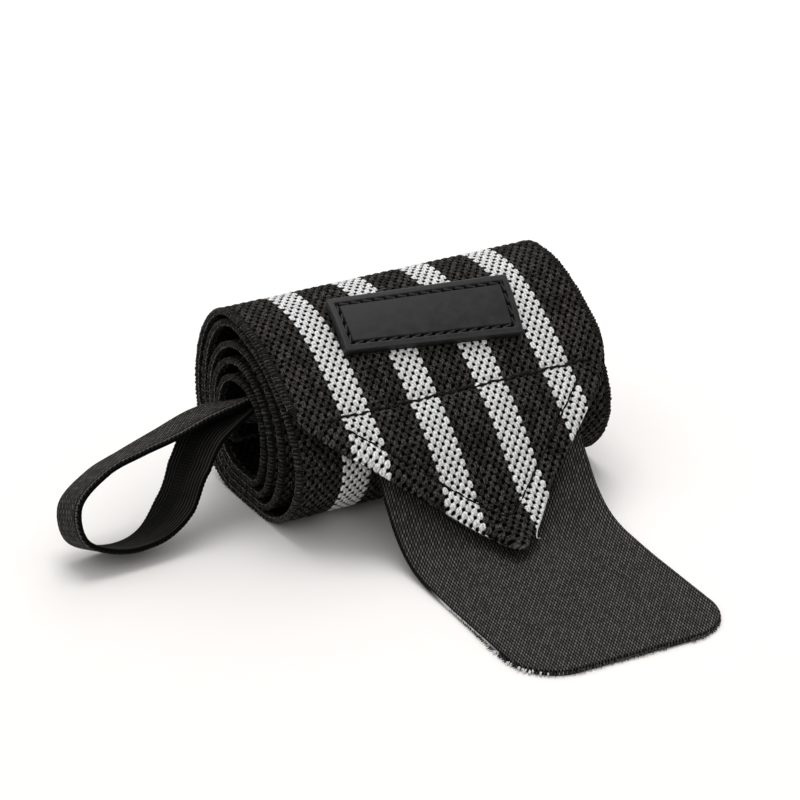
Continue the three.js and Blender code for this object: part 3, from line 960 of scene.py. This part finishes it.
def makeFringe():
    # each hook is a thin tube bent over by sines: it leaves the edge outwards and down, and its end turns up
    # again; they stand along the left side, round the left corner, along the end and round the right corner
    corner, inner = tab["corner"], tab["width"] / 2 - tab["corner"]
    side = np.arange(tabLength - fringe["grows"][0], tabLength - corner, fringe["pitch"])
    turn = np.arange(0, math.pi / 2, fringe["pitch"] / corner)
    end = np.arange(-tab["width"] / 2 + corner, inner, fringe["pitch"])
    x = np.concatenate([0 * side - tab["width"] / 2, -inner - corner * np.cos(turn), end,
                        inner + corner * np.sin(turn)])
    s = np.concatenate([side, tabLength - corner * (1 - np.sin(turn)), 0 * end + tabLength,
                        tabLength - corner * (1 - np.cos(turn))])
    awayX = np.concatenate([0 * side - 1, -np.cos(turn), 0 * end, np.sin(turn)])[:, None]
    awayS = np.concatenate([0 * side, np.sin(turn), 0 * end + 1, np.cos(turn)])[:, None]
    count = len(x)
    ramps = fringe["grows"], fringe["glintRamp"]
    grown, glinting = (fade(side, tabLength - low, tabLength - high) for low, high in ramps)
    reach = fringe["reach"] * random.uniform(*fringe["reaches"], count)
    reach = (reach * np.concatenate([grown, 0 * turn + 1, 0 * end + 1, fade(-turn, -1.3, 0)]))[:, None]
    lean = random.uniform(*fringe["leans"], count)[:, None]
    t = np.linspace(0, 1, fringe["steps"])
    outwards = -0.2 + (reach + 0.2) * np.sin(t * math.pi * 0.85)
    sideways = lean * t * reach
    height = 0.1 - 0.3 * np.sin(t * math.pi * 1.3) + random.uniform(*fringe["drops"], count)[:, None] * t
    # painted glints: part of the hooks near the left corner, and faintly along the end, are drawn pale
    light = (random.uniform(0, 1, count) > fringe["darkShare"]) * np.concatenate(
        [glinting, fade(-turn, -1.4, -0.7), fringe["endGlint"] + 0 * end, fringe["endGlint"] + 0 * turn])
    px = x[:, None] + awayX * outwards - awayS * sideways
    ps = s[:, None] + awayS * outwards + awayX * sideways
    onCloth = np.clip(ps, 0, tabLength)
    path = onTab(px, onCloth, height)
    path[..., 1] -= ps - onCloth
    path[..., 2] = path[..., 2].clip(fringe["radius"])
    radius = fringe["radius"] * (1 - 0.4 * t) * (1 + 0.5 * light[:, None])
    sides = fringe["sides"]
    return addTubes("hook_fringe", path, [0.0, 0.0, 1.0], radius, sides, light, hookBristle)


hookFringe = makeFringe()

# Thumb loop
loop = {
    "width": 11.5,
    "thickness": 1.1,
    "edge": 0.35,
    "cordPitch": 0.78,
    "cordLift": 0.2,
    "cordsEnd": ((3.6, 5.6), (2.4, 3.8)),  # the cords fade this far from the near and the far edge
    "grooveIn": 1.45,  # the outer face has one groove, this far from its near edge
    "tooth": 0.9,  # pitch of the small loops along both edges
    "toothDepth": 0.09,
    # x, y, z and the lean of the webbing's width in degrees below level towards the back
    "rows": [(-13, 9.6, 19.6, 89), (-21, 9.5, 19.8, 84), (-30, 7.6, 21.4, 52), (-39.1, 4.7, 23.1, 18),
             (-48, 2.7, 23.0, 15), (-56.7, 1.0, 21.3, 15), (-65.5, -0.4, 19.7, 21), (-74, -2.0, 17.8, 23),
             (-81.5, -4.4, 13.0, 21), (-81.4, -7.0, 6.4, 21), (-73.6, -7.9, 2.7, 20), (-64.7, -7.1, 3.3, 16),
             (-57.9, -4.9, 7.9, -15), (-53.2, -2.3, 14.5, -18), (-47.5, 0.9, 19.9, -11),
             (-38.9, 3.2, 20.8, 28), (-29.9, 5.5, 19.7, 54), (-21, 8.0, 19.8, 84), (-13, 8.2, 19.6, 89)],
}


def makeLoop():
    # a webbing section carried along the loop's line, turned by its lean; cords run lengthwise over the inner
    # face, highest near its edges, and the outer face is level but for a groove and a ridge by its near edge
    rows = np.array(loop["rows"])
    t = np.linspace(0, 1, 700)
    middle = smoothLine(rows[:, :3], t)
    lean = np.interp(t * (len(rows) - 1), np.arange(len(rows)), rows[:, 3])
    lean = np.radians(softened(lean[:, None], 22)[:, 0])
    forward = unit(np.gradient(middle, axis=0))
    across = np.stack([0 * lean, np.cos(lean), -np.sin(lean)], 1)
    across = unit(across - forward * np.sum(across * forward, 1)[:, None])
    out = np.cross(across, forward)
    half = loop["width"] / 2
    face = np.linspace(-1, 1, 57)
    _, flat, bulge, rise = stripSection(face, face, 5)
    w = flat * (half - loop["edge"]) + bulge * loop["edge"]
    toEdge = half - np.abs(w)
    wave = np.cos(2 * math.pi * (toEdge - 0.5) / loop["cordPitch"])
    corded = np.where(w < 0, *(fade(-toEdge, -high, -low) for low, high in loop["cordsEnd"]))
    cords = 0.5 + 0.5 * wave * (0.12 + 0.88 * corded)
    fromGroove = half + w - loop["grooveIn"]
    ridge = 0.5 + 0.3 * bell(fromGroove + 0.6, 0.3) - 0.5 * bell(fromGroove, 0.17)
    lift = np.where(rise < 0, cords, ridge)
    relief = loop["cordLift"] * (lift - 0.5) * np.sign(rise) * fade(toEdge, 0.1, 0.4)
    h = loop["thickness"] / 2 * rise + relief
    s = lengthAlong(middle)
    teeth = loop["toothDepth"] * np.cos(2 * math.pi * s / loop["tooth"])[:, None]
    teeth = teeth * fade(-toEdge, -0.6, 0) * np.sign(w)
    points = middle[:, None] + across[:, None] * (w + teeth)[..., None] + out[:, None] * h[None, :, None]
    coords = np.stack(np.broadcast_arrays(w[None], s[:, None], (np.where(rise < 0, -1, 1) * lift)[None]), -1)
    piece = addLoft("thumb_loop_webbing", points, coords, loopWebbing)
    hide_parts("thumb_loop")
    print("loop length", round(float(s[-1]), 1), "mm")


makeLoop()

# Rubber patch
patch = {
    "length": 40.6,
    "height": 12.7,
    "thickness": 2.0,
    "corner": 0.5,
    "bevel": 0.28,
    "rim": 1.25,  # width of the raised outer frame
    "groove": 0.8,  # sunk line inside the frame, with moulded stitches in it
    "grooveDepth": 0.7,
    "panelDepth": 0.15,
    "dashPitch": 2.6,
    "dashLength": 0.78,  # share of the pitch
    "dashSlant": 0.55,  # each stitch crosses the groove's middle by this much
    "dashWidth": 0.15,
    "dashLift": 0.6,
    "tipLeft": 1.1,  # the upper edge stands this much further off the band
    "tipRight": 2.6,
    "x": 0.0,
    "along": 55.7,
    "turn": -7.0,
    "gap": 0.15,  # over the knit's middle height
    "step": 0.15,
}


def patchFace(u, v):
    # the face's height, and where painted shade and highlight go: a bevelled frame with highlit edges, a
    # groove painted dark with slanting stitches in it painted light, and a level panel
    halfU, halfV = patch["length"] / 2, patch["height"] / 2
    toU, toV = halfU - np.abs(u), halfV - np.abs(v)
    inset = np.minimum(toU, toV)
    bevel = np.sqrt(1 - (1 - np.clip(inset / patch["bevel"], 0, 1)) ** 2)
    height = patch["thickness"] - patch["bevel"] * (1 - bevel)
    inner = inset - patch["rim"]
    sunk = fade(inner, 0, 0.14) * fade(-inner, -patch["groove"] - 0.1, -patch["groove"] + 0.04)
    panel = fade(inner, patch["groove"] - 0.04, patch["groove"] + 0.1)
    height = height - patch["grooveDepth"] * sunk - patch["panelDepth"] * panel
    run = np.where(toU < toV, v, u)
    place = (run / patch["dashPitch"]) % 1 - 0.5
    dash = fade(-np.abs(place), -patch["dashLength"] / 2 - 0.05, -patch["dashLength"] / 2 + 0.05)
    across = inner - patch["groove"] / 2 - patch["dashSlant"] * place
    stitch = bell(across, patch["dashWidth"]) * dash * sunk
    # painted highlight lines along the bevel and the frame's inner edge
    paintedHighlight = bell(inset - patch["bevel"] / 2, 0.1) + 0.5 * bell(inner + 0.1, 0.08)
    return height + patch["dashLift"] * stitch, sunk * (1 - stitch), np.maximum(stitch, paintedHighlight)


def patchLine(half):
    # places from one edge of the patch to the other, closer together at the edges
    edge = np.array([0, 0.04, 0.12, 0.26])
    inside = np.linspace(-half + 0.45, half - 0.45, int(2 * half / patch["step"]))
    return np.concatenate([-half + edge, inside, (half - edge)[::-1]])


def makePatch():
    # a grid in the patch's length and height, set on the band's slope; the base is the same grid at no height
    halfU, halfV = patch["length"] / 2, patch["height"] / 2
    u, v = np.meshgrid(patchLine(halfU), patchLine(halfV), indexing="ij")
    cut = np.clip(patch["corner"] - np.minimum(halfU - np.abs(u), halfV - np.abs(v)), 0, None)
    turn = math.radians(patch["turn"])

    def placed(height):
        # corners are rounded by drawing points near a corner's square onto its circle
        far = [np.clip(np.abs(a) - half + patch["corner"], 0, None) for a, half in ((u, halfU), (v, halfV))]
        longest, size = np.maximum(*far), np.hypot(*far)
        shrink = np.where(size > 0, longest / np.maximum(size, 1e-9), 1)
        pu = np.where(cut > 0, np.sign(u) * (np.abs(u) - far[0] * (1 - shrink)), u)
        pv = np.where(cut > 0, np.sign(v) * (np.abs(v) - far[1] * (1 - shrink)), v)
        x = patch["x"] + pu * math.cos(turn) - pv * math.sin(turn)
        s = patch["along"] + pu * math.sin(turn) + pv * math.cos(turn)
        tip = patch["tipLeft"] + (patch["tipRight"] - patch["tipLeft"]) * (pu + halfU) / patch["length"]
        lean = tip * (pv + halfV) / patch["height"]
        return onBand(x, s, layer + patch["gap"] + height + lean).reshape(-1, 3)

    height, dark, light = patchFace(u, v)
    points = np.concatenate([placed(height), placed(0 * u)])
    shades = np.stack([dark, light, 0 * u], -1).reshape(-1, 3)
    nu, nv = u.shape
    top = gridQuads(nu, nv)
    low = top[:, ::-1] + nu * nv
    border = np.concatenate([np.arange(nu - 1) * nv, (nu - 1) * nv + np.arange(nv - 1),
                             np.arange(nu - 1, 0, -1) * nv + nv - 1, np.arange(nv - 1, 0, -1)])
    after = np.roll(border, -1)
    wall = np.stack([border + nu * nv, after + nu * nv, after, border], 1)
    piece = addPiece("rubber_patch", points, np.concatenate([top, low, wall]), (),
                     np.concatenate([shades, 0 * shades]), patchRubber)
    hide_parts("label_patch")


makePatch()

# Floor, light and camera
studio = {
    "floor": 0.8,
    "floorWarm": 0.025,
    "floorSize": 3000,  # half its width
    "horizon": 0.5,  # the surrounding light's strength level with the floor and overhead
    "overhead": 0.82,
    "lens": 178.0,
    "cameraAt": (-374.22, -668.51, 378.77),
    "cameraTo": (-13.14, -20.51, 28.11),
    # name, place, aim, size across and up, power in watts
    "lamps": [
        ("topLamp", (60, 220, 1000), (0, -20, 10), 600, 5.2),
        ("backLamp", (420, 520, 480), (0, -10, 20), 520, 1.3),
        ("frontLamp", (-600, -500, 500), (0, -30, 10), 500, 0.5),
    ],
}


def makeFloor():
    # a flat grid, level with the roll's lowest point
    size = np.linspace(-studio["floorSize"], studio["floorSize"], 3)
    x, y = np.meshgrid(size, size, indexing="ij")
    points = toRow(np.stack([x, y, 0 * x], -1).reshape(-1, 3))
    mesh = bpy.data.meshes.new("floor")
    mesh.from_pydata(points.tolist(), [], gridQuads(3, 3).tolist())
    floor = bpy.data.objects.new("floor", mesh)
    bpy.context.scene.collection.objects.link(floor)
    material, tree, surface = newMaterial("paperFloor", 0.75)
    tones = [grey(studio["floor"] + step, studio["floorWarm"]) for step in (-0.01, 0.01)]
    cloud = noise(tree, objectPlace(tree), 9.0, 2.0)
    tree.links.new(blendColour(tree, cloud, *tones), surface["Base Color"])
    mesh.materials.append(material)


def aimAt(thing, place, target):
    place, target = toRow(place), toRow(target)
    thing.location = place
    thing.rotation_euler = Vector(target - place).to_track_quat("-Z", "Y").to_euler()


def makeLight():
    # soft light all round, stronger overhead, and square lamps
    world = bpy.data.worlds.new("studio")
    bpy.context.scene.world = world
    world.use_nodes = True
    tree = world.node_tree
    way = put(tree, "ShaderNodeTexCoord").outputs["Generated"]
    rise = spread(tree, splitVector(tree, way)[2], 0.0, 0.9)
    tent = blendColour(tree, rise, grey(studio["horizon"]), grey(studio["overhead"]))
    tree.links.new(tent, tree.nodes["Background"].inputs["Color"])
    for name, place, target, size, power in studio["lamps"]:
        lamp = bpy.data.lights.new(name, "AREA")
        lamp.size = size / 1000
        lamp.energy = power
        holder = bpy.data.objects.new(name, lamp)
        bpy.context.scene.collection.objects.link(holder)
        aimAt(holder, place, target)


def makeCamera():
    camera = bpy.data.cameras.new("camera")
    camera.lens = studio["lens"]
    camera.sensor_width = 36
    camera.clip_end = 20
    holder = bpy.data.objects.new("camera", camera)
    bpy.context.scene.collection.objects.link(holder)
    aimAt(holder, studio["cameraAt"], studio["cameraTo"])
    bpy.context.scene.camera = holder
    bpy.context.scene.view_settings.view_transform = "Standard"


makeFloor()
makeLight()
makeCamera()
print("floor, light and camera made")
